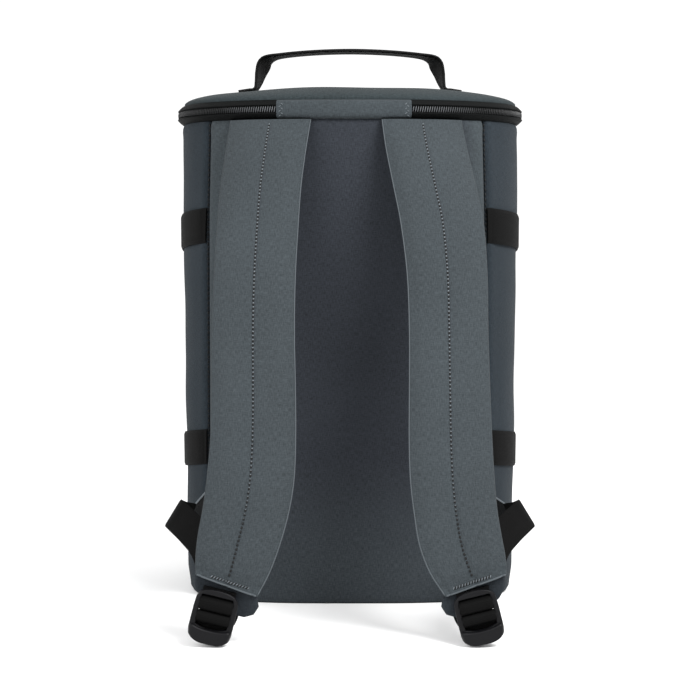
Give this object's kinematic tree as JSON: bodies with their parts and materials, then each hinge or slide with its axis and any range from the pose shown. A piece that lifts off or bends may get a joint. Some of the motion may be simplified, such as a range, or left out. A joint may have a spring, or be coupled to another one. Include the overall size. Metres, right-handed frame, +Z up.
{
  "type": "cooler backpack",
  "caption": "Barrel-shaped insulated backpack with a domed zip-round lid, grab handle, side webbing and padded shoulder straps on ladder locks.",
  "frame": {"origin": "on the floor under the middle of the body, on the flat face of the base panel", "axes": "+Z up; -Y towards the shoulder straps and the back panel that is worn against the back; +X to the right as the straps are seen"},
  "size_m": [0.2646, 0.325, 0.4113],
  "materials": {
    "body_cloth": "fine plain weave over foam",
    "back_cloth": "fine plain weave over foam, a shade darker",
    "strap_cloth": "fine heathered plain weave",
    "webbing": "ribbed flat webbing",
    "zip_tape": "fine ribbed tape",
    "zip_teeth": "coil teeth",
    "lock_plastic": "moulded, satin"
  },
  "bodies": {
    "root": {"back_panel": "back_cloth", "side_and_front_panel": "body_cloth", "base_panel": "body_cloth", "zip_tape_lower": "zip_tape", "zip_chain": "zip_teeth", "zip_tape_upper": "zip_tape", "hinge_strip": "strap_cloth", "zip_slider": "lock_plastic", "lid": "strap_cloth", "handle": "webbing", "side_webbing_upper_left": "webbing", "side_webbing_lower_left": "webbing", "strap_left": "strap_cloth", "strap_end_left": "strap_cloth", "ladder_lock_left": "lock_plastic", "lock_webbing_left": "webbing", "adjuster_webbing_left": "webbing", "side_tab_left": "strap_cloth", "side_webbing_upper_right": "webbing", "side_webbing_lower_right": "webbing", "strap_right": "strap_cloth", "strap_end_right": "strap_cloth", "ladder_lock_right": "lock_plastic", "lock_webbing_right": "webbing", "adjuster_webbing_right": "webbing", "side_tab_right": "strap_cloth"}
  },
  "joints": []
}
